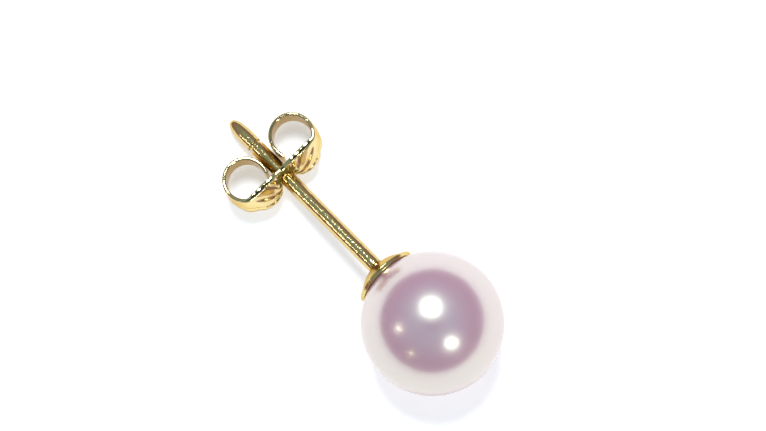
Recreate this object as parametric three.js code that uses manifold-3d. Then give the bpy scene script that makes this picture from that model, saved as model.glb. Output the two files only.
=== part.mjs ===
// Pearl stud earring, lying on a surface with its butterfly clutch pushed part of the way up the post.
// Millimetres, +Z up. The post lies in the XZ plane and slopes down from the pearl, at +X, to its tip, at -X.
// The origin is the centre of the underside of the earring's box, on the surface that it lies on.
import * as THREE from "three";
import { mergeVertices } from "three/addons/utils/BufferGeometryUtils.js";
import Module from "manifold-3d";

// Pearl: a round bead, half drilled for the peg
const PEARL_DIAMETER = 7.5;
const DRILLED_DEPTH = 4.2;
const GLUE_LINE = 0.04;

// Cup, peg and post: one soldered piece
const CUP_DIAMETER = 3.52;
const CUP_CENTRE_WALL = 0.56;
const CUP_RIM_WALL = 0.26;
const CUP_WALL_POWER = 2.5;
const POST_DIAMETER = 0.82;
const POST_LENGTH = 11.3;
const NECK_DIAMETER = 0.62;
const NECK_LENGTH = 0.14;
const GROOVE_FROM_TIP = 1.94;
const GROOVE_WIDTH = 0.2;
const GROOVE_DEPTH = 0.08;
const BULLET_LENGTH = 1.25;
const BULLET_FULLNESS = 2.7;

// Butterfly clutch: one stamped strip, curled back into a scroll on each side of the post
const CLUTCH_PLACE = 11.65;
const CLUTCH_LENGTH = 5.8;
const PLATE_HEIGHT = 2.85;
const CHORD_SHARE = 0.805;
const SHEET = 0.2;
const CORNER_RADIUS = 0.3;
const ARM_END_RADIUS = 1.6;
const ARM_END_TURN = 20;
const LOBE_BULGE = 0.88;
const DIMPLE_DEPTH = 0.25;
const DIMPLE_RADIUS = 0.55;
const FLUTE_DEPTH = 0.06;
const FLUTE_STEP = 20;
const FLUTE_SHARPNESS = 4;
const FLUTE_EDGE_FADE = 0.95;
const PETAL_ANGLE = 50;
const PETAL_WIDTH = 10;
const HOLE_CLEARANCE = 0.06;
const HOLE_DRILL_LENGTH = 1.84;
const ARM_CLEARANCE = 0.03;

// Facets: how finely the curved faces are cut
const PEARL_SIDES = 48;
const POST_SIDES = 32;
const SEAT_STEPS = 5;
const RIM_STEPS = 4;
const BACK_STEPS = 5;
const SHOULDER_STEPS = 2;
const BULLET_STEPS = 9;
const STRIP_ROWS = 20;
const SLANT_STEP = 0.02;
const WELD = 1e-4;

const pearlRadius = PEARL_DIAMETER / 2;
const postRadius = POST_DIAMETER / 2;
const cupRadius = CUP_DIAMETER / 2;
const seatRadius = pearlRadius + GLUE_LINE;
const plateHalf = PLATE_HEIGHT / 2;

// The pearl and the clutch's lobes both touch the surface, which sets the slope of the post.
const slope = Math.asin((pearlRadius - plateHalf) / CLUTCH_PLACE);

const GOLD = { color: 0xd9c07a, roughness: 0.22, metalness: 1.0 };
const NACRE = { color: 0xf0dfe2, roughness: 0.18, metalness: 0.0 };

const wasm = await Module();
wasm.setup();

function solidFrom(geometry) {
  const bare = geometry.clone();
  bare.deleteAttribute("normal");
  bare.deleteAttribute("uv");
  const merged = mergeVertices(bare, WELD);
  return new wasm.Manifold(
    new wasm.Mesh({
      numProp: 3,
      vertProperties: new Float32Array(merged.attributes.position.array),
      triVerts: new Uint32Array(merged.index.array),
    }),
  );
}

function geometryFrom(solid) {
  const mesh = solid.getMesh();
  const geometry = new THREE.BufferGeometry();
  geometry.setAttribute("position", new THREE.BufferAttribute(mesh.vertProperties, 3));
  geometry.setIndex(new THREE.BufferAttribute(mesh.triVerts, 1));
  geometry.computeVertexNormals();
  return geometry;
}

// Points of an arc in a lathe profile, at angles from the +Y axis, without its first point.
function profileArc(centreR, centreY, radius, fromDeg, toDeg, steps) {
  const points = [];
  for (let i = 1; i <= steps; i++) {
    const angle = THREE.MathUtils.degToRad(fromDeg + ((toDeg - fromDeg) * i) / steps);
    points.push(
      new THREE.Vector2(
        Math.max(centreR + radius * Math.sin(angle), 0),
        centreY + radius * Math.cos(angle),
      ),
    );
  }
  return points;
}

// Rings for an arc of the pearl, spaced like its sides.
function ringsOver(degrees) {
  return Math.ceil((degrees * PEARL_SIDES) / 360);
}

// The pearl about +Y, its drilled hole open at +Y. One ring of its points lies where the pearl touches the surface.
function pearl() {
  const holeRadius = postRadius + GLUE_LINE;
  const mouth = THREE.MathUtils.radToDeg(Math.asin(holeRadius / pearlRadius));
  const touch = 90 - THREE.MathUtils.radToDeg(slope);
  const bottom = pearlRadius - DRILLED_DEPTH;
  const start = new THREE.Vector2(
    holeRadius,
    Math.sqrt(pearlRadius ** 2 - holeRadius ** 2),
  );
  const profile = [
    new THREE.Vector2(0, bottom),
    new THREE.Vector2(holeRadius, bottom),
    start,
    ...profileArc(0, 0, pearlRadius, mouth, touch, ringsOver(touch - mouth)),
    ...profileArc(0, 0, pearlRadius, touch, 180, ringsOver(180 - touch)),
  ];
  return new THREE.LatheGeometry(profile.reverse(), PEARL_SIDES);
}

// Cup, peg and post about +Y, with the pearl's centre at the origin.
function cupAndPost() {
  const pegEnd = pearlRadius - DRILLED_DEPTH + 2 * GLUE_LINE;
  const seatAngle = THREE.MathUtils.radToDeg(Math.asin(postRadius / seatRadius));
  const rimAngle = THREE.MathUtils.radToDeg(Math.asin((cupRadius - CUP_RIM_WALL / 2) / seatRadius));
  const apex = seatRadius + CUP_CENTRE_WALL;
  const tip = apex + POST_LENGTH;
  const profile = [new THREE.Vector2(0, pegEnd)];
  profile.push(new THREE.Vector2(postRadius, pegEnd));
  profile.push(new THREE.Vector2(postRadius, Math.sqrt(seatRadius ** 2 - postRadius ** 2)));
  profile.push(...profileArc(0, 0, seatRadius, seatAngle, rimAngle, SEAT_STEPS));
  profile.push(...cupBack(rimAngle, apex));
  profile.push(...neck(apex));
  profile.push(...grooveAndBullet(tip));
  return new THREE.LatheGeometry(profile, POST_SIDES);
}

// The cup's rounded rim and its back, whose wall is thickest at the centre and thins faster towards the rim.
function cupBack(rimAngle, apex) {
  const rimRound = CUP_RIM_WALL / 2;
  const rimCentreR = cupRadius - rimRound;
  const rimCentreY = Math.sqrt(seatRadius ** 2 - rimCentreR ** 2) + rimRound;
  const points = profileArc(rimCentreR, rimCentreY, rimRound, 180 - rimAngle, rimAngle, RIM_STEPS);
  const neckRadius = NECK_DIAMETER / 2;
  for (let i = 1; i <= BACK_STEPS; i++) {
    const r = THREE.MathUtils.lerp(rimCentreR, neckRadius, i / BACK_STEPS);
    const thinning = (CUP_CENTRE_WALL - CUP_RIM_WALL) * (r / rimCentreR) ** CUP_WALL_POWER;
    const wall = CUP_CENTRE_WALL - thinning;
    const seat = Math.sqrt(seatRadius ** 2 - r ** 2);
    points.push(new THREE.Vector2(r, Math.min(seat + wall, apex)));
  }
  return points;
}

// The narrow neck where the post is soldered on, and the post's rounded shoulder above it.
function neck(apex) {
  const neckRadius = NECK_DIAMETER / 2;
  const shoulder = postRadius - neckRadius;
  return [
    new THREE.Vector2(neckRadius, apex + NECK_LENGTH - shoulder),
    ...profileArc(neckRadius, apex + NECK_LENGTH, shoulder, 180, 90, SHOULDER_STEPS),
  ];
}

// The groove across its width, from the cup's side to the tip's. Each row: place as a share of half its width, and
// depth as a share of its full depth.
const GROOVE_PROFILE = [
  { place: -1.5, depth: 0.0 },
  { place: -1.0, depth: 0.3 },
  { place: -0.5, depth: 1.0 },
  { place: 0.5, depth: 1.0 },
  { place: 1.0, depth: 0.3 },
  { place: 1.5, depth: 0.0 },
];

// The post's safety groove with rounded edges, then the bullet end, an ellipse made fuller towards its nose.
function grooveAndBullet(tip) {
  const middle = tip - GROOVE_FROM_TIP;
  const half = GROOVE_WIDTH / 2;
  const points = [];
  for (const row of GROOVE_PROFILE)
    points.push(new THREE.Vector2(postRadius - GROOVE_DEPTH * row.depth, middle + half * row.place));
  for (let i = 0; i < BULLET_STEPS; i++) {
    const share = Math.sin((i / BULLET_STEPS) * (Math.PI / 2));
    const r = postRadius * (1 - share ** 2) ** (1 / BULLET_FULLNESS);
    points.push(new THREE.Vector2(r, tip - BULLET_LENGTH * (1 - share)));
  }
  points.push(new THREE.Vector2(0, tip));
  return points;
}

// Half of the strip's middle line, seen from above: the plate, the corner, the round scroll that ends beside the post,
// and the arm's end. The scroll is one circle that the plate cuts like a chord, CHORD_SHARE of its radius from its
// centre, and the corner rounds where they meet.
// Each row is a stretch that turns by an angle on a radius, or runs straight.
function stripStretches() {
  const outer = CLUTCH_LENGTH / 2 - SHEET / 2;
  const inner = postRadius + ARM_CLEARANCE + SHEET / 2;
  const scrollRadius = (outer - inner) / 2;
  const chordDepth = scrollRadius * CHORD_SHARE;
  const apart = scrollRadius - CORNER_RADIUS;
  const corner = Math.acos((chordDepth - CORNER_RADIUS) / apart);
  const plate = inner + scrollRadius + apart * Math.sin(corner);
  const scroll = THREE.MathUtils.degToRad(270) - corner;
  const end = THREE.MathUtils.degToRad(ARM_END_TURN);
  return [
    { name: "plate", length: plate, turn: 0, steps: 18 },
    { name: "corner", length: CORNER_RADIUS * corner, turn: corner, steps: 4 },
    { name: "scroll", length: scrollRadius * scroll, turn: scroll, steps: 14 },
    { name: "arm_end", length: ARM_END_RADIUS * end, turn: end, steps: 2 },
  ];
}

// Stations along half of the strip: the point (x back from the plate, y), its outward normal, and the run so far.
function halfStations() {
  const stations = [];
  let x = 0;
  let y = 0;
  let heading = 0;
  let run = 0;
  for (const stretch of stripStretches()) {
    const step = stretch.length / stretch.steps;
    const turn = stretch.turn / stretch.steps;
    for (let i = 0; i < stretch.steps; i++) {
      stations.push({ x, y, heading, run, stretch: stretch.name });
      const chord = turn === 0 ? step : (step / (turn / 2)) * Math.sin(turn / 2);
      heading += turn / 2;
      x += chord * Math.sin(heading);
      y += chord * Math.cos(heading);
      heading += turn / 2;
      run += step;
    }
  }
  stations.push({ x, y, heading, run, stretch: "arm_end" });
  return stations;
}

// Height, bulge and fluting along half of the strip. Each row: place along it from the hole as a share of its length,
// height as a share of the plate's, bulge as a share of the lobe's, and flutes as a share of their full depth.
const STRIP_SECTIONS = [
  { place: 0.0, height: 0.9, bulge: 0.4, flutes: 0.0 },
  { place: 0.045, height: 0.93, bulge: 0.52, flutes: 0.5 },
  { place: 0.1, height: 1.0, bulge: 0.86, flutes: 0.9 },
  { place: 0.18, height: 1.0, bulge: 1.0, flutes: 1.0 },
  { place: 0.24, height: 1.0, bulge: 0.93, flutes: 1.0 },
  { place: 0.28, height: 0.99, bulge: 0.72, flutes: 0.9 },
  { place: 0.32, height: 0.97, bulge: 0.4, flutes: 0.8 },
  { place: 0.37, height: 0.93, bulge: 0.2, flutes: 0.6 },
  { place: 0.45, height: 0.86, bulge: 0.08, flutes: 0.2 },
  { place: 0.56, height: 0.8, bulge: 0.0, flutes: 0.0 },
  { place: 1.0, height: 0.75, bulge: 0.0, flutes: 0.0 },
];

function sectionAt(share) {
  const rows = STRIP_SECTIONS;
  let i = 0;
  while (i < rows.length - 2 && share > rows[i + 1].place) i++;
  const t = (share - rows[i].place) / (rows[i + 1].place - rows[i].place);
  const mix = (column) => THREE.MathUtils.lerp(rows[i][column], rows[i + 1][column], t);
  return { height: mix("height"), bulge: mix("bulge"), flutes: mix("flutes") };
}

// How far the sheet's middle stands out from the strip's line: the lobe's bulge, less the dimple round the hole and
// less grooves that fan out from the hole. They fade out towards the edges, and the ones that part the small petals
// beside the hole from the lobe are twice as deep. across runs from -1 at the lower edge to 1 at the upper one.
function standOut(run, across, section) {
  const z = (across * PLATE_HEIGHT * section.height) / 2;
  const fromHole = Math.hypot(run, z);
  const bulge = LOBE_BULGE * section.bulge * Math.cos((across * Math.PI) / 2);
  const dimple = DIMPLE_DEPTH * Math.exp(-((fromHole / DIMPLE_RADIUS) ** 2));
  const angle = THREE.MathUtils.radToDeg(Math.atan2(Math.abs(z), run));
  const groove = Math.sin((angle / FLUTE_STEP) * Math.PI) ** FLUTE_SHARPNESS;
  const petal = 1 + Math.exp(-(((angle - PETAL_ANGLE) / PETAL_WIDTH) ** 2));
  const flute = FLUTE_DEPTH * section.flutes * groove * petal * (1 - FLUTE_EDGE_FADE * across ** 2);
  return bulge - dimple - flute;
}

// Slope across the sheet, which sets how thick it is when it is cut level at its edges.
function slantAt(run, across, section) {
  const rise = standOut(run, across + SLANT_STEP, section) - standOut(run, across - SLANT_STEP, section);
  const width = SLANT_STEP * PLATE_HEIGHT * section.height;
  return Math.hypot(1, rise / width);
}

// The clutch about its hole: x points back from the plate to the post's tip, z is up.
function clutchStrip() {
  const half = halfStations();
  const total = half[half.length - 1].run;
  const mirrored = half.slice(1).reverse().map((s) => ({ ...s, side: -1 }));
  const stations = [...mirrored, ...half.map((s) => ({ ...s, side: 1 }))];
  const loop = 2 * (STRIP_ROWS + 1);
  const positions = [];
  for (const s of stations) {
    const section = sectionAt(s.run / total);
    const normalX = -Math.cos(s.heading);
    const normalY = Math.sin(s.heading) * s.side;
    for (let k = 0; k < loop; k++) {
      const front = k <= STRIP_ROWS;
      const row = front ? k : loop - 1 - k;
      const across = (2 * row) / STRIP_ROWS - 1;
      const wall = (SHEET / 2) * slantAt(s.run, across, section);
      const out = standOut(s.run, across, section) + (front ? wall : -wall);
      positions.push(s.x + normalX * out, s.side * s.y + normalY * out);
      positions.push((across * PLATE_HEIGHT * section.height) / 2);
    }
  }
  return gridSolid(positions, stations.length, loop);
}

// A closed solid from rings of points, each ring a front row and a back row, with a cap at both ends.
function gridSolid(positions, rings, loop) {
  const index = [];
  for (let i = 0; i < rings - 1; i++)
    for (let k = 0; k < loop; k++) {
      const next = (k + 1) % loop;
      const a = i * loop + k;
      const b = i * loop + next;
      index.push(a, b, a + loop, b, b + loop, a + loop);
    }
  const last = (rings - 1) * loop;
  for (let k = 0; k < loop / 2 - 1; k++) {
    const back = loop - 1 - k;
    index.push(k, back, k + 1, back, back - 1, k + 1);
    index.push(last + k, last + k + 1, last + back, last + back, last + k + 1, last + back - 1);
  }
  const geometry = new THREE.BufferGeometry();
  geometry.setAttribute("position", new THREE.Float32BufferAttribute(positions, 3));
  geometry.setIndex(index);
  return geometry;
}

// The hole lets the post pass at its slope: it is wider than the post by that slant through the sheet.
function clutch() {
  const holeRadius = postRadius / Math.cos(slope) + (SHEET / 2) * Math.tan(slope) + HOLE_CLEARANCE;
  const drill = new THREE.CylinderGeometry(holeRadius, holeRadius, HOLE_DRILL_LENGTH, POST_SIDES);
  drill.rotateZ(Math.PI / 2);
  const strip = solidFrom(clutchStrip());
  return geometryFrom(strip.subtract(solidFrom(drill)));
}

function named(name, geometry, look) {
  const mesh = new THREE.Mesh(geometry, new THREE.MeshStandardMaterial(look));
  mesh.name = name;
  return mesh;
}

// The stud: pearl and post share one axis, laid from +Y to -X and then sloped down by the slope of the post.
const stud = new THREE.Group();
stud.add(named("pearl", pearl().rotateZ(Math.PI / 2), NACRE));
stud.add(named("cup_and_post", cupAndPost().rotateZ(Math.PI / 2), GOLD));
stud.rotation.y = -slope;
stud.position.set(0, 0, pearlRadius);

// The clutch stands level on its lobes, its hole on the post's axis.
const nut = named("clutch", clutch(), GOLD);
const postLine = new THREE.Vector3(-Math.cos(slope), 0, -Math.sin(slope));
const seat = stud.position.clone().addScaledVector(postLine, CLUTCH_PLACE);
const standing = new THREE.Group();
standing.add(nut);
standing.rotation.z = Math.PI;
standing.position.copy(seat);

const earring = new THREE.Group();
earring.add(stud, standing);
earring.updateMatrixWorld(true);
const box = new THREE.Box3().setFromObject(earring, true);
const middle = box.getCenter(new THREE.Vector3());
earring.position.set(-middle.x, -middle.y, -box.min.z);

export default earring;
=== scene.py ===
"""Looks of the pearl stud earring: pearl, cup with its post, and butterfly clutch, on a pale table.

Lengths are in millimetres until a piece is put into its mesh, which is in metres in the frame of
the solids: +Z up, +X from the post's tip to the pearl, the origin under the middle of the earring.
"""

import math

import bpy
import numpy as np
from mathutils import Matrix, Vector


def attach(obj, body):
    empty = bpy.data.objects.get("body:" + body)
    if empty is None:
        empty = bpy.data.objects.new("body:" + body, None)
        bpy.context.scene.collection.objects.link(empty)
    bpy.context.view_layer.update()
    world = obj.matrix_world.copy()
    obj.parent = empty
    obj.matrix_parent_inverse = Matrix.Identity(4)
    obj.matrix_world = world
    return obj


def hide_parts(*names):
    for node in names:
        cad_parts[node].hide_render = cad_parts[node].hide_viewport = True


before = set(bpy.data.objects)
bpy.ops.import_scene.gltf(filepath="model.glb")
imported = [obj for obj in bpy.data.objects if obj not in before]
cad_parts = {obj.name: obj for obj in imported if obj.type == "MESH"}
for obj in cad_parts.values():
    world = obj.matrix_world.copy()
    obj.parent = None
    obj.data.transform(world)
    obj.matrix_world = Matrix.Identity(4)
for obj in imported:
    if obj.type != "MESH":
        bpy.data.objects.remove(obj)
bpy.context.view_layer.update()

# Pearl
PEARL_RADIUS = 3.75
PEARL_CENTRE_X = 5.797
DRILLED_DEPTH = 4.2
HOLE_FLAT_SHARE = 0.98
HOLE_CORNER = 0.01
MOUTH_BEVEL = 0.02
GLUE_LINE = 0.04
SEAT_GAP = 0.015

# Cup, peg and post
CUP_RADIUS = 1.76
CUP_CENTRE_WALL = 0.56
CUP_RIM_WALL = 0.26
CUP_WALL_POWER = 2.5
RIM_REACH = 1.12
POST_RADIUS = 0.41
POST_LENGTH = 11.3
NECK_RADIUS = 0.31
NECK_LENGTH = 0.14
STRAIGHT_FROM_CUP = 0.4
STRAIGHT_FROM_TIP = 2.2
GROOVE_FROM_TIP = 1.94
GROOVE_WIDTH = 0.2
GROOVE_DEPTH = 0.08
GROOVE_REACH = 1.6
GROOVE_FLATNESS = 1.35
BULLET_LENGTH = 1.25
BULLET_FULLNESS = 2.7

# Butterfly clutch
CLUTCH_PLACE = 11.65
CLUTCH_LENGTH = 5.8
PLATE_HEIGHT = 2.85
CHORD_SHARE = 0.805
SHEET = 0.2
CORNER_RADIUS = 0.3
SCROLL_TURN = 270
ARM_END_RADIUS = 1.6
ARM_END_TURN = 20
LOBE_BULGE = 0.88
DIMPLE_DEPTH = 0.25
DIMPLE_RADIUS = 0.55
FLUTE_DEPTH = 0.085
FLUTE_STEP = 20
FLUTE_SHARPNESS = 8
FLUTE_EDGE_FADE = 0.95
PETAL_ANGLE = 50
PETAL_WIDTH = 10
HOLE_CLEARANCE = 0.06
HOLE_DRILL_LENGTH = 1.84
ARM_CLEARANCE = 0.03
END_THINNEST = 0.02

# The strip's edges: sheared along the plate, and rounder and smoother where the scroll has begun,
# from CURL_START on and fully after CURL_LENGTH more, both shares of the run. Waves and leans hold
# (length in mm, start in radians).
PLATE_EDGE_ROUND = 0.03
SCROLL_EDGE_ROUND = 0.06
CURL_START = 0.28
CURL_LENGTH = 0.1
CURL_SMOOTHING = 0.8
CUT_WAVE_DEPTH = 0.012
CUT_WAVES = ((0.9, 0.4), (0.55, 1.7), (0.34, 2.9))
CUT_LEAN = 0.06
CUT_LEANS = ((1.3, 1.1), (0.7, 0.2))

# The strip's height, bulge and fluting at places along half of it, as shares
SECTION_PLACES = np.array([0.0, 0.045, 0.10, 0.18, 0.24, 0.28, 0.32, 0.37, 0.45, 0.56, 1.0])
SECTION_HEIGHTS = np.array([0.9, 0.93, 1.0, 1.0, 1.0, 1.0, 0.99, 0.955, 0.87, 0.8, 0.75])
SECTION_BULGES = np.array([0.4, 0.52, 0.86, 1.0, 0.93, 0.72, 0.4, 0.2, 0.08, 0.0, 0.0])
SECTION_FLUTES = np.array([0.0, 0.5, 0.9, 1.0, 1.0, 0.9, 0.8, 0.6, 0.2, 0.0, 0.0])

# How finely the pieces are made: points along each stretch of a profile, and sides round it
PEARL_STEPS = 170
PEARL_SIDES = 200
SEAT_STEPS = 24
RIM_STEPS = 28
BACK_STEPS = 36
NECK_STEPS = 8
STRAIGHT_STEPS = 60
GROOVE_STEPS = 25
BULLET_STEPS = 34
POST_SIDES = 128
HOLE_SIDES = 96
SHARP_ANGLE = math.radians(38)

MM = 0.001
PLATE_HALF = PLATE_HEIGHT / 2
SLOPE = math.asin((PEARL_RADIUS - PLATE_HALF) / CLUTCH_PLACE)
SEAT_RADIUS = PEARL_RADIUS + SEAT_GAP
PEARL_CENTRE = np.array([PEARL_CENTRE_X, 0.0, PEARL_RADIUS])
POST_LINE = np.array([-math.cos(SLOPE), 0.0, -math.sin(SLOPE)])
POST_RISE = np.array([-math.sin(SLOPE), 0.0, math.cos(SLOPE)])


def put_mesh(name, points, faces, body=None, node=None):
    """A piece from points in millimetres and rows of corner numbers. With a node it rides on its
    body in place of that node's solid."""
    mesh = bpy.data.meshes.new(name)
    mesh.from_pydata((points * MM).tolist(), [], [f.tolist() for f in faces])
    mesh.polygons.foreach_set("use_smooth", np.ones(len(mesh.polygons), bool))
    mesh.set_sharp_from_angle(angle=SHARP_ANGLE)
    piece = bpy.data.objects.new(name, mesh)
    bpy.context.scene.collection.objects.link(piece)
    if node:
        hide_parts(node)
        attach(piece, body)
    return piece


def turned(profile, sides):
    """Surface of revolution on the post's line: profile holds (radius, distance from the pearl's
    centre), and each point goes round by angle a as
    centre + line * distance + radius * (rise * cos a + across * sin a).
    The first and last points are on the line and become single poles."""
    radius, along = profile[1:-1, 0], profile[1:-1, 1]
    angle = np.linspace(0, 2 * math.pi, sides, endpoint=False)
    spoke = np.outer(np.cos(angle), POST_RISE) + np.outer(np.sin(angle), [0.0, 1.0, 0.0])
    ring = PEARL_CENTRE + along[:, None, None] * POST_LINE + radius[:, None, None] * spoke[None]
    poles = PEARL_CENTRE + profile[[0, -1], 1][:, None] * POST_LINE
    points = np.concatenate([ring.reshape(-1, 3), poles])
    i, k = np.meshgrid(np.arange(len(radius) - 1), np.arange(sides), indexing="ij")
    a, b = i * sides + k, i * sides + (k + 1) % sides
    quads = np.stack([a, b, b + sides, a + sides], -1).reshape(-1, 4)
    k = np.arange(sides)
    following = (k + 1) % sides
    last = (len(radius) - 1) * sides
    first_fan = np.stack([following, k, np.full(sides, len(points) - 2)], -1)
    last_fan = np.stack([last + k, last + following, np.full(sides, len(points) - 1)], -1)
    return points, [*quads, *first_fan, *last_fan]


def arc(centre_r, centre_y, radius, start, end, steps):
    """Points of a circle in a profile, at angles in degrees from the post's line."""
    angle = np.radians(np.linspace(start, end, steps))
    r = np.maximum(centre_r + radius * np.sin(angle), 0)
    return np.stack([r, centre_y + radius * np.cos(angle)], -1)


def pearl_profile():
    """Hole bottom, hole wall, its mouth with a tiny bevel, and the sphere's arc to the far pole."""
    hole = POST_RADIUS + GLUE_LINE
    mouth = math.degrees(math.asin((hole + MOUTH_BEVEL) / PEARL_RADIUS))
    bottom = PEARL_RADIUS - DRILLED_DEPTH
    wall_top = PEARL_RADIUS * math.cos(math.radians(mouth)) - MOUTH_BEVEL
    return np.concatenate(
        [
            [[0, bottom], [hole * HOLE_FLAT_SHARE, bottom]],
            [[hole, bottom + HOLE_CORNER], [hole, wall_top]],
            arc(0, 0, PEARL_RADIUS, mouth, 180, PEARL_STEPS)[:-1],
            [[0, -PEARL_RADIUS]],
        ]
    )


def rim_profile(rim_round, rim_angle):
    """The cup's rim, a squarish round from the seat to the back: its middle is outside the seat by
    rim_round, at rim_angle from the post's line, and its radius at angle a is rim_round divided by
    (cos^4 a + sin^4 a) ^ 1/4."""
    away = np.array([math.sin(rim_angle), math.cos(rim_angle)])
    along = np.array([math.cos(rim_angle), -math.sin(rim_angle)])
    turn = np.linspace(-math.pi / 2, math.pi / 2, RIM_STEPS)[1:, None]
    square = rim_round / (np.cos(turn) ** 4 + np.sin(turn) ** 4) ** 0.25
    middle = (SEAT_RADIUS + rim_round) * away
    return middle + square * (np.cos(turn) * along + np.sin(turn) * away)


def back_profile(rim_r, apex):
    """The cup's back, from the rim in to the neck: the seat's sphere plus a wall that thins
    outwards with the radius to the power CUP_WALL_POWER."""
    r = np.linspace(rim_r, NECK_RADIUS, BACK_STEPS)[1:]
    wall = CUP_CENTRE_WALL - (CUP_CENTRE_WALL - CUP_RIM_WALL) * (r / rim_r) ** CUP_WALL_POWER
    return np.stack([r, np.minimum(np.sqrt(SEAT_RADIUS**2 - r**2) + wall, apex)], -1)


def groove_profile(tip):
    """The safety groove. At x half-widths from its middle it is deep by the share
    GROOVE_FLATNESS - |x|^3, kept within 0 and 1."""
    across = np.linspace(-GROOVE_REACH, GROOVE_REACH, GROOVE_STEPS)
    dip = GROOVE_DEPTH * np.clip(GROOVE_FLATNESS - np.abs(across) ** 3, 0, 1)
    along = tip - GROOVE_FROM_TIP + across * GROOVE_WIDTH / 2
    return np.stack([POST_RADIUS - dip, along], -1)


def bullet_profile(tip):
    """The bullet end: at the share s of its length the post's radius is multiplied by
    (1 - s^2) ^ (1 / BULLET_FULLNESS)."""
    share = np.sin(np.linspace(0, math.pi / 2, BULLET_STEPS))
    r = POST_RADIUS * (1 - share**2) ** (1 / BULLET_FULLNESS)
    bullet = np.stack([r, tip - BULLET_LENGTH * (1 - share)], -1)
    bullet[-1] = [0, tip]
    return bullet


def cup_and_post_profile():
    """Peg, seat, rim, the back whose wall thins towards the rim, neck, post, groove and bullet."""
    peg_end = PEARL_RADIUS - DRILLED_DEPTH + 2 * GLUE_LINE
    seat_angle = math.degrees(math.asin(POST_RADIUS / SEAT_RADIUS))
    rim_round = CUP_RIM_WALL / 2
    rim_angle = math.asin((CUP_RADIUS - RIM_REACH * rim_round) / (SEAT_RADIUS + rim_round))
    apex = SEAT_RADIUS + CUP_CENTRE_WALL
    tip = apex + POST_LENGTH
    shoulder = POST_RADIUS - NECK_RADIUS
    straight = np.linspace(apex + STRAIGHT_FROM_CUP, tip - STRAIGHT_FROM_TIP, STRAIGHT_STEPS)
    return np.concatenate(
        [
            [[0, peg_end], [POST_RADIUS, peg_end]],
            arc(0, 0, SEAT_RADIUS, seat_angle, math.degrees(rim_angle), SEAT_STEPS),
            rim_profile(rim_round, rim_angle),
            back_profile(CUP_RADIUS - rim_round, apex),
            [[NECK_RADIUS, apex + NECK_LENGTH - shoulder]],
            arc(NECK_RADIUS, apex + NECK_LENGTH, shoulder, 180, 90, NECK_STEPS),
            np.stack([np.full(STRAIGHT_STEPS, POST_RADIUS), straight], -1),
            groove_profile(tip),
            bullet_profile(tip),
        ]
    )


def eased(share, places, values):
    """Values at places joined by smooth curves: Hermite pieces whose slopes are zero where the
    values turn back."""
    step = np.diff(places)
    rise = np.diff(values) / step
    product = rise[:-1] * rise[1:]
    inner = np.where(product > 0, 2 * product / (rise[:-1] + rise[1:] + 1e-12), 0)
    slope = np.concatenate([[0], inner, [0]])
    i = np.clip(np.searchsorted(places, share, side="right") - 1, 0, len(step) - 1)
    t = (share - places[i]) / step[i]
    h = step[i]
    keep = 2 * t**3 - 3 * t**2 + 1
    return (
        keep * values[i]
        + (1 - keep) * values[i + 1]
        + (t**3 - 2 * t**2 + t) * h * slope[i]
        + (t**3 - t**2) * h * slope[i + 1]
    )


def strip_line(count):
    """Half of the strip's middle line seen from above, as x back from the plate, y, heading and
    run: it runs straight along the plate, rounds the corner, goes round the scroll, which is one
    circle that the plate cuts like a chord, and turns a little more at the arm's end. Each stretch
    is an arc of its own radius."""
    outer = CLUTCH_LENGTH / 2 - SHEET / 2
    inner = POST_RADIUS + ARM_CLEARANCE + SHEET / 2
    scroll = (outer - inner) / 2
    chord_depth = scroll * CHORD_SHARE
    apart = scroll - CORNER_RADIUS
    corner = math.acos((chord_depth - CORNER_RADIUS) / apart)
    plate = inner + scroll + apart * math.sin(corner)
    round_turn = math.radians(SCROLL_TURN) - corner
    end_turn = math.radians(ARM_END_TURN)
    lengths = [plate, CORNER_RADIUS * corner, scroll * round_turn, ARM_END_RADIUS * end_turn]
    turns = [0, corner, round_turn, end_turn]
    knots = np.concatenate([[0], np.cumsum(lengths)])
    run = np.linspace(0, knots[-1], count)
    heading = np.interp(run, knots, np.concatenate([[0], np.cumsum(turns)]))
    middle = (heading[1:] + heading[:-1]) / 2
    x = np.concatenate([[0], np.cumsum(np.diff(run) * np.sin(middle))])
    y = np.concatenate([[0], np.cumsum(np.diff(run) * np.cos(middle))])
    return x, y, heading, run


def stand_out(run, z, height, bulge, flutes):
    """How far the sheet stands out from its line: bulge * cos across it, less a round dimple at
    the hole, and less grooves that fan out from the hole and fade towards the edges. The groove
    that parts the small petal beside the hole from the lobe is twice as deep."""
    across = np.clip(2 * z / height, -1, 1)
    lobe = LOBE_BULGE * bulge * np.cos(across * math.pi / 2)
    dimple = DIMPLE_DEPTH * np.exp(-(run**2 + z**2) / DIMPLE_RADIUS**2)
    angle = np.degrees(np.arctan2(np.abs(z), run))
    groove = np.sin(angle / FLUTE_STEP * math.pi) ** FLUTE_SHARPNESS
    petal = 1 + np.exp(-(((angle - PETAL_ANGLE) / PETAL_WIDTH) ** 2))
    fade = 1 - FLUTE_EDGE_FADE * across**2
    return lobe - dimple - FLUTE_DEPTH * flutes * groove * petal * fade


def sheet_section(rows, rounds):
    """The sheet's cross-section as (side, z share, z offset): front face up, rounded top edge, back
    face down and rounded bottom edge. side runs from 1 at the front face to -1 at the back one."""
    face = np.linspace(-1, 1, rows)
    turn = np.linspace(0, math.pi, rounds + 2)[1:-1]
    side = np.concatenate([np.ones(rows), np.cos(turn), -np.ones(rows), -np.cos(turn)])
    share = np.concatenate([face, np.ones(rounds), -face, -np.ones(rounds)])
    edge = np.concatenate([np.zeros(rows), np.sin(turn), np.zeros(rows), -np.sin(turn)])
    return side, share, edge


def waved(run, waves):
    """Sum of sin(2 pi * run / length + start) over the waves."""
    return sum(np.sin(2 * math.pi * run / length + start) for length, start in waves)


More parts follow.
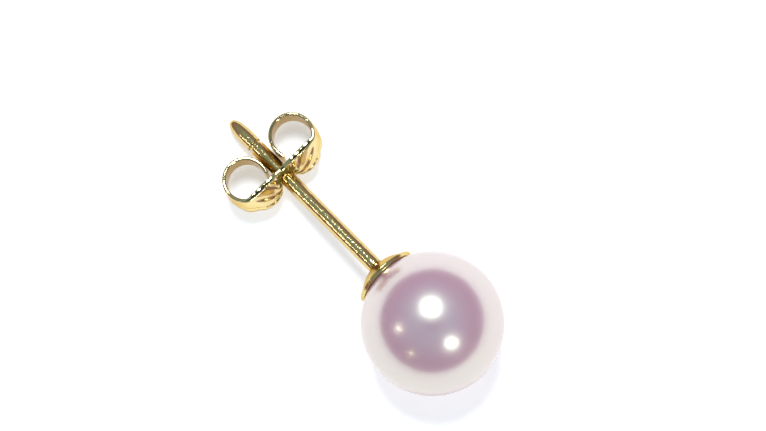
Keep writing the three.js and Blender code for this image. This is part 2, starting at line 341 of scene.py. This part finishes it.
def cut_edge(run, side):
    """How far the sheared edge stays short of its full height: by CUT_WAVES along it, as a share
    of 0 to 1 of their depth, and by CUT_LEANS, which tilt its face from the sheet's front to its
    back one way and the other."""
    waves = (len(CUT_WAVES) - waved(run, CUT_WAVES)) / (2 * len(CUT_WAVES))
    leans = (len(CUT_LEANS) - side * waved(run, CUT_LEANS)) / len(CUT_LEANS)
    return CUT_WAVE_DEPTH * waves + CUT_LEAN * SHEET / 2 * leans


def clutch_points(count, rows, rounds):
    """The whole strip as a grid of stations by section points: each point is the line's point at
    that run, moved along its outward normal by stand_out plus half the sheet, which is rounded off
    at the strip's ends, and up by its share of the height."""
    x, y, heading, run = strip_line(count)
    mirror = np.concatenate([-np.ones(count - 1), np.ones(count)])[:, None]
    x, y, heading, run = (np.concatenate([v[:0:-1], v])[:, None] for v in (x, y, heading, run))
    share = run / run.max()
    height = PLATE_HEIGHT * eased(share, SECTION_PLACES, SECTION_HEIGHTS)
    bulge = eased(share, SECTION_PLACES, SECTION_BULGES)
    flutes = eased(share, SECTION_PLACES, SECTION_FLUTES)
    side, z_share, edge = (v[None] for v in sheet_section(rows, rounds))
    to_end = np.clip((run.max() - run) / (SHEET / 2), 0, 1)
    thin = np.sqrt(np.clip(1 - (1 - to_end) ** 2, END_THINNEST, 1))
    curled = np.clip((share - CURL_START) / CURL_LENGTH, 0, 1)
    edge_round = PLATE_EDGE_ROUND + (SCROLL_EDGE_ROUND - PLATE_EDGE_ROUND) * curled
    short = cut_edge(mirror * run, side) * (1 - CURL_SMOOTHING * curled)
    z = z_share * (height / 2 - edge_round - short) + edge * edge_round
    probe = 0.02
    above = stand_out(run, z + probe, height, bulge, flutes)
    below = stand_out(run, z - probe, height, bulge, flutes)
    thicker = np.hypot(1, (above - below) / (2 * probe))
    out = stand_out(run, z, height, bulge, flutes) + side * SHEET / 2 * thin * thicker
    back = x - np.cos(heading) * out
    across = mirror * (y + np.sin(heading) * out)
    return np.stack([back, across, z], -1)


def clutch_strip(count=300, rows=61, rounds=7):
    """The strip's points and faces: quads round every station, and caps on its two ends, each a
    row of quads between the faces with the rounded edges as one face above and one below."""
    points = clutch_points(count, rows, rounds)
    stations, loop = points.shape[:2]
    i, k = np.meshgrid(np.arange(stations - 1), np.arange(loop), indexing="ij")
    a, b = i * loop + k, i * loop + (k + 1) % loop
    quads = np.stack([a, b, b + loop, a + loop], -1).reshape(-1, 4)
    last = (stations - 1) * loop
    k = np.arange(rows - 1)
    far = 2 * rows + rounds - 1 - k
    start_cap = np.stack([k, far, far - 1, k + 1], -1)
    ends = [*start_cap, *(start_cap + last)[:, ::-1]]
    for base, flip in ((0, 1), (last, -1)):
        top = np.arange(rows - 1, rows + rounds + 1) + base
        bottom = np.concatenate([np.arange(2 * rows + rounds - 1, loop), [0]]) + base
        ends += [top[::-flip], bottom[::-flip]]
    return points.reshape(-1, 3), [*quads, *ends]


def hole_bar(place):
    """A round bar along X through the plate's middle, which cuts the post's hole."""
    hole = POST_RADIUS / math.cos(SLOPE) + SHEET / 2 * math.tan(SLOPE) + HOLE_CLEARANCE
    angle = np.linspace(0, 2 * math.pi, HOLE_SIDES, endpoint=False)
    circle = np.stack([np.zeros(HOLE_SIDES), hole * np.cos(angle), hole * np.sin(angle)], -1)
    circle = circle + place
    reach = np.array([HOLE_DRILL_LENGTH / 2, 0, 0])
    k = np.arange(HOLE_SIDES)
    following = (k + 1) % HOLE_SIDES
    walls = np.stack([k, following, following + HOLE_SIDES, k + HOLE_SIDES], -1)
    points = np.concatenate([circle - reach, circle + reach])
    return put_mesh("bar", points, [*walls, k[::-1], k + HOLE_SIDES])


def clutch_piece():
    """The strip turned to face the pearl and stood on its lobes, with the post's hole cut."""
    points, faces = clutch_strip()
    place = PEARL_CENTRE + POST_LINE * CLUTCH_PLACE
    points = points * [-1, -1, 1] + place
    piece = put_mesh("butterfly_clutch", points, faces, "clutch", "clutch")
    bar = hole_bar(place)
    cut = piece.modifiers.new("hole", "BOOLEAN")
    cut.operation = "DIFFERENCE"
    cut.solver = "EXACT"
    cut.object = bar
    bpy.context.view_layer.update()
    with_hole = piece.evaluated_get(bpy.context.evaluated_depsgraph_get())
    mesh = bpy.data.meshes.new_from_object(with_hole)
    piece.modifiers.clear()
    piece.data = mesh
    mesh.set_sharp_from_angle(angle=SHARP_ANGLE)
    mesh.materials.clear()
    bpy.data.objects.remove(bar)
    return piece


def linear(code):
    """sRGB hex to linear colour with full alpha."""
    parts = [int(code[i : i + 2], 16) / 255 for i in (1, 3, 5)]
    return (*[p / 12.92 if p <= 0.04045 else ((p + 0.055) / 1.055) ** 2.4 for p in parts], 1.0)


def add(tree, kind, sockets=None, **settings):
    """A node with its settings. In sockets, an output is linked to the input and any other value
    is set on it."""
    node = tree.nodes.new(kind)
    for key, value in settings.items():
        setattr(node, key, value)
    for key, value in (sockets or {}).items():
        if isinstance(value, bpy.types.NodeSocket):
            tree.links.new(value, node.inputs[key])
        else:
            node.inputs[key].default_value = value
    return node


def new_material(name):
    """An empty material: itself, its node tree and the place on the object."""
    material = bpy.data.materials.new(name)
    material.use_nodes = True
    tree = material.node_tree
    tree.nodes.clear()
    return material, tree, add(tree, "ShaderNodeTexCoord").outputs["Object"]


def noise(tree, place, scale, detail):
    """Soft noise with so many waves to the metre."""
    sockets = {"Vector": place, "Scale": scale, "Detail": detail}
    return add(tree, "ShaderNodeTexNoise", sockets).outputs["Fac"]


def mixed(tree, share, a, b):
    """A colour from a to b by the share."""
    sockets = {"Factor": share, "A": a, "B": b}
    return add(tree, "ShaderNodeMix", sockets, data_type="RGBA").outputs["Result"]


def relief(tree, low_noise, low_depth, fine_noise, fine_depth):
    """Normals of a low relief with a fine one on it, their depths in metres."""
    low = {"Height": low_noise, "Distance": low_depth, "Strength": 1.0}
    below = add(tree, "ShaderNodeBump", low).outputs["Normal"]
    fine = {"Height": fine_noise, "Distance": fine_depth, "Strength": 1.0, "Normal": below}
    return add(tree, "ShaderNodeBump", fine).outputs["Normal"]


# How much of the light the pearl's stacked layers send back as a soft mirror, and its silvery tint
LUSTRE_SHARE = 0.43
LUSTRE_TINT = (0.86, 0.91, 0.66, 1.0)
LUSTRE_EDGE = (0.8, 0.72, 0.72, 1.0)
NACRE_BODY = ((0.53, 0.26, 0.42, 1.0), (0.57, 0.285, 0.39, 1.0))


def nacre():
    """Polished nacre of a cultured pearl: a milky, faintly pink body, clouded over about 2.4 mm,
    under thin clear layers, which give a soft mirror-like lustre. Growth waves of about 1.2 mm and
    fine terraces of about 0.15 mm hardly disturb it."""
    material, tree, place = new_material("nacre_polished")
    tint = mixed(tree, noise(tree, place, 420.0, 2.0), *NACRE_BODY)
    waves = noise(tree, place, 800.0, 1.5)
    terraces = noise(tree, place, 6500.0, 3.0)
    normal = relief(tree, waves, 0.000012, terraces, 0.0000012)
    body = add(
        tree,
        "ShaderNodeBsdfPrincipled",
        {"Base Color": tint, "Roughness": 0.1, "IOR": 1.6, "Normal": normal},
    )
    lustre = add(
        tree,
        "ShaderNodeBsdfPrincipled",
        {
            "Base Color": LUSTRE_TINT,
            "Metallic": 1.0,
            "Roughness": 0.28,
            "Specular Tint": LUSTRE_EDGE,
            "Normal": normal,
        },
    )
    layers = {"Fac": LUSTRE_SHARE, 1: body.outputs["BSDF"], 2: lustre.outputs["BSDF"]}
    both = add(tree, "ShaderNodeMixShader", layers)
    add(tree, "ShaderNodeOutputMaterial", {"Surface": both.outputs["Shader"]})
    return material


# Gold still looks golden where it is seen at a shallow angle. The roughness rises over the part of
# the marks' noise that MARK_LOW and MARK_HIGH bound.
GOLD_EDGE = (0.75, 0.60, 0.38, 1.0)
DENT_DEPTH = 0.000007
MARK_LOW = 0.35
MARK_HIGH = 0.7
LINE_STRETCH = 0.03


def finish_gold(tree, colour, dents, marks, mark_depth, smoothest, roughest):
    """Polished gold: shallow dents with fine marks on them, which also dull it a little."""
    wear = {
        "Value": marks,
        "From Min": MARK_LOW,
        "From Max": MARK_HIGH,
        "To Min": smoothest,
        "To Max": roughest,
    }
    gold = {
        "Base Color": linear(colour),
        "Metallic": 1.0,
        "Specular Tint": GOLD_EDGE,
        "Roughness": add(tree, "ShaderNodeMapRange", wear).outputs["Result"],
        "Normal": relief(tree, dents, DENT_DEPTH, marks, mark_depth),
    }
    shader = add(tree, "ShaderNodeBsdfPrincipled", gold)
    add(tree, "ShaderNodeOutputMaterial", {"Surface": shader.outputs["BSDF"]})


def post_gold():
    """Yellow gold wire, drawn and polished: lines along the post, about 0.06 mm apart, and shallow
    dents of about 0.1 mm break its highlights into thin strokes."""
    material, tree, place = new_material("gold_14k_drawn_and_polished")
    along = add(tree, "ShaderNodeMapping", {"Vector": place, "Rotation": (0, -SLOPE, 0)})
    stretch = {"Vector": along.outputs["Vector"], "Scale": (LINE_STRETCH, 1.0, 1.0)}
    stretched = add(tree, "ShaderNodeMapping", stretch).outputs["Vector"]
    lines = noise(tree, stretched, 16000.0, 3.0)
    dents = noise(tree, place, 9000.0, 2.0)
    finish_gold(tree, "#D3B97E", dents, lines, 0.000006, 0.07, 0.16)
    return material


def clutch_gold():
    """Yellow gold sheet, stamped and tumbled bright: nearly mirror-like, with shallow dents of
    about 0.5 mm left by the stamping and rubbing marks of about 0.07 mm."""
    material, tree, place = new_material("gold_14k_stamped_and_tumbled")
    dents = noise(tree, place, 2000.0, 2.0)
    rubs = noise(tree, place, 14000.0, 3.0)
    finish_gold(tree, "#DDC68E", dents, rubs, 0.000003, 0.06, 0.13)
    return material


# Light that comes up through the translucent board, against its own white
BOARD_GLOW = 0.44
BOARD_GLOW_TINT = (0.97, 0.98, 1.0, 1.0)


def table_board():
    """Matt white translucent board under the earring, lit a little from below, with a faint
    mottle of about 3 mm."""
    material, tree, place = new_material("white_board_matt")
    mottle = noise(tree, place, 300.0, 3.0)
    shader = add(
        tree,
        "ShaderNodeBsdfPrincipled",
        {
            "Base Color": mixed(tree, mottle, linear("#F5F4F4"), linear("#F7F6F5")),
            "Roughness": 0.8,
            "Emission Color": BOARD_GLOW_TINT,
            "Emission Strength": BOARD_GLOW,
        },
    )
    add(tree, "ShaderNodeOutputMaterial", {"Surface": shader.outputs["BSDF"]})
    return material


# Half the side of the board
TABLE_HALF = 3000.0


def table():
    """A wide level board: a square of four points at height zero."""
    corners = np.array([[-1, -1, 0], [1, -1, 0], [1, 1, 0], [-1, 1, 0]])
    board = put_mesh("table", TABLE_HALF * corners, [np.array([0, 1, 2, 3])])
    board.data.materials.append(table_board())


# The camera: the photograph looks almost straight down. Right and down are the picture's, seen on
# the table. Lengths are in mm, the turn in degrees, the tilts as slopes and the clip ends in m.
CAMERA_TURN = 45.6
CAMERA_TILT_RIGHT = 0.027
CAMERA_TILT_DOWN = 0.095
CAMERA_DISTANCE = 300.0
CAMERA_CLIP = (0.01, 20.0)
PIXELS_PER_MM = 19.33
PICTURE = np.array([766.0, 431.0])
PEARL_IN_PICTURE = np.array([432.7, 323.4])
SENSOR = 36.0


def unit(v):
    """The vector's direction, of length 1."""
    return v / np.linalg.norm(v)


def camera_axes():
    """Right, down and look directions, and the camera's place in millimetres. The ray to the
    pearl's centre meets the picture where the pearl is in the photograph."""
    turn = math.radians(CAMERA_TURN)
    right = np.array([math.cos(turn), math.sin(turn), 0.0])
    down = np.array([math.sin(turn), -math.cos(turn), 0.0])
    back = unit(CAMERA_TILT_RIGHT * right + CAMERA_TILT_DOWN * down + [0, 0, 1])
    eye = PEARL_CENTRE + CAMERA_DISTANCE * back
    off = (PEARL_IN_PICTURE - PICTURE / 2) / (PIXELS_PER_MM * CAMERA_DISTANCE)
    right_of_ray = unit(right - (right @ back) * back)
    down_of_ray = np.cross(-back, right_of_ray)
    look = unit(-back - off[0] * right_of_ray - off[1] * down_of_ray)
    right = unit(right - (right @ look) * look)
    return right, np.cross(look, right), look, eye


def add_camera():
    """The scene's camera, placed and turned like the photograph's."""
    right, down, look, eye = camera_axes()
    data = bpy.data.cameras.new("camera")
    data.sensor_width = SENSOR
    data.lens = PIXELS_PER_MM * CAMERA_DISTANCE * SENSOR / PICTURE[0]
    data.clip_start, data.clip_end = CAMERA_CLIP
    camera = bpy.data.objects.new("camera", data)
    turn = Matrix(np.stack([right, -down, -look], -1).tolist()).to_4x4()
    camera.matrix_world = Matrix.Translation(Vector(eye * MM)) @ turn
    bpy.context.scene.collection.objects.link(camera)
    bpy.context.scene.camera = camera


# Soft lights: name, where each shows in the pearl (right and down of its centre as shares of its
# radius), how wide it looks from the table in degrees, its brightness against the white table, and
# its tint: bluish like a window for the large ones, warmer for the small ones.
LIGHTS = [
    ("big_soft_light", (-0.028, -0.235), 17.5, 34.0, (0.86, 0.97, 1.08)),
    ("second_light", (0.258, 0.26), 9, 32.0, (0.9, 0.98, 1.05)),
    ("small_light", (-0.468, 0.065), 4, 26.0, (1.0, 0.97, 0.92)),
    ("faint_light", (-0.297, 0.403), 4, 9.0, (1.0, 1.0, 0.6)),
]
LIGHT_DISTANCE = 600.0


def add_lights():
    """Each light is a round disk in the mirror direction of its place on the pearl. Its power is
    brightness * pi * area."""
    right, down, look, _ = camera_axes()
    for name, (across, low), span, glow, tint in LIGHTS:
        up = math.sqrt(1 - across**2 - low**2)
        way = unit(2 * up * (across * right + low * down) - (2 * up**2 - 1) * look)
        size = 2 * LIGHT_DISTANCE * MM * math.tan(math.radians(span / 2))
        data = bpy.data.lights.new(name, "AREA")
        data.shape = "DISK"
        data.size = size
        data.color = tint
        data.energy = glow * math.pi * math.pi * size**2 / 4
        disk = bpy.data.objects.new(name, data)
        disk.location = Vector((PEARL_CENTRE + way * LIGHT_DISTANCE) * MM)
        disk.rotation_mode = "QUATERNION"
        disk.rotation_quaternion = Vector(way).to_track_quat("Z", "Y")
        bpy.context.scene.collection.objects.link(disk)


# The room round the table, from the horizon (0) to straight overhead (1): dim pinkish walls, a
# bluish ceiling and a dark patch straight overhead
ROOM = [
    (0.0, (0.32, 0.20, 0.25, 1)),
    (0.4, (0.32, 0.26, 0.29, 1)),
    (0.8, (0.30, 0.40, 0.45, 1)),
    (0.95, (0.25, 0.39, 0.46, 1)),
    (0.98, (0.03, 0.03, 0.03, 1)),
]


def add_room():
    """The room's colour by height, from ROOM."""
    world = bpy.data.worlds.new("studio")
    bpy.context.scene.world = world
    world.use_nodes = True
    tree = world.node_tree
    tree.nodes.clear()
    way = add(tree, "ShaderNodeTexCoord").outputs["Generated"]
    height = add(tree, "ShaderNodeSeparateXYZ", {"Vector": way})
    ramp = add(tree, "ShaderNodeValToRGB", {"Fac": height.outputs["Z"]})
    stops = ramp.color_ramp.elements
    stops[0].position, stops[0].color = ROOM[0]
    stops[1].position, stops[1].color = ROOM[-1]
    for position, colour in ROOM[1:-1]:
        stops.new(position).color = colour
    glow = add(tree, "ShaderNodeBackground", {"Color": ramp.outputs["Color"], "Strength": 1.0})
    add(tree, "ShaderNodeOutputWorld", {"Surface": glow.outputs["Background"]})


add_camera()
points, faces = turned(pearl_profile(), PEARL_SIDES)
pearl = put_mesh("cultured_pearl", points, faces, "stud", "pearl")
pearl.data.materials.append(nacre())
points, faces = turned(cup_and_post_profile(), POST_SIDES)
post = put_mesh("cup_with_post", points, faces, "stud", "cup_and_post")
post.data.materials.append(post_gold())
clutch = clutch_piece()
clutch.data.materials.append(clutch_gold())
table()
add_lights()
add_room()
bpy.context.scene.view_settings.view_transform = "Standard"
